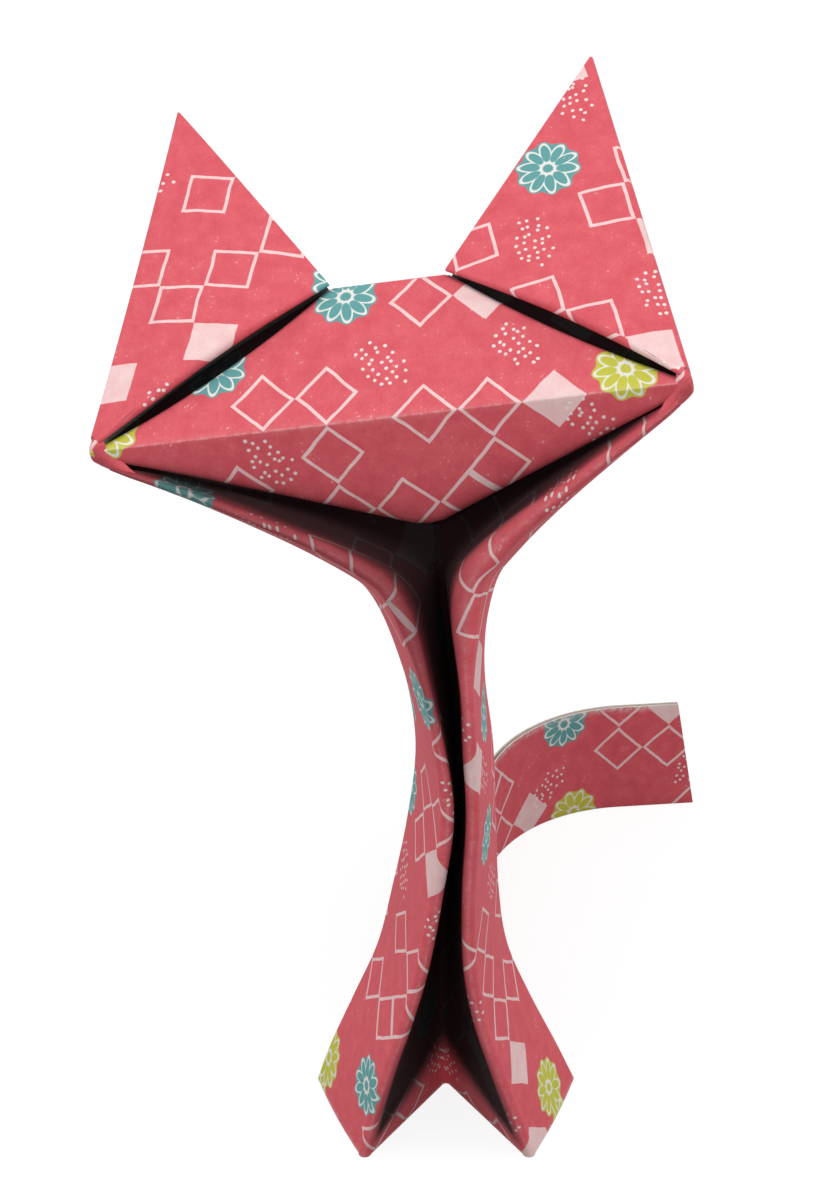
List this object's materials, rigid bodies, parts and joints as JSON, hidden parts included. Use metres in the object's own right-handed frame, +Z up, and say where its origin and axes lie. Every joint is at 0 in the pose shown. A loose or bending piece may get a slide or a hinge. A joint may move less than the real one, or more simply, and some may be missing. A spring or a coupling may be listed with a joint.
{
  "type": "folded paper cat",
  "caption": "Standing cat folded from one strip of printed paper: pleated legs, broad head with two pointed ears, and a doubled strip curled behind as the tail.",
  "frame": {"origin": "on the table, under the rear ridge of the pleated legs", "axes": "+Z up, the cat faces -Y, its tail runs back along +Y and turns out to +X"},
  "size_m": [0.1184, 0.1234, 0.1934],
  "materials": {
    "patterned_paper": "uncoated printed paper: coral red ground with pale squares, dots and teal rosettes on one side, white on the other"
  },
  "bodies": {
    "root": {"folded_sheet": "patterned_paper"}
  },
  "joints": []
}
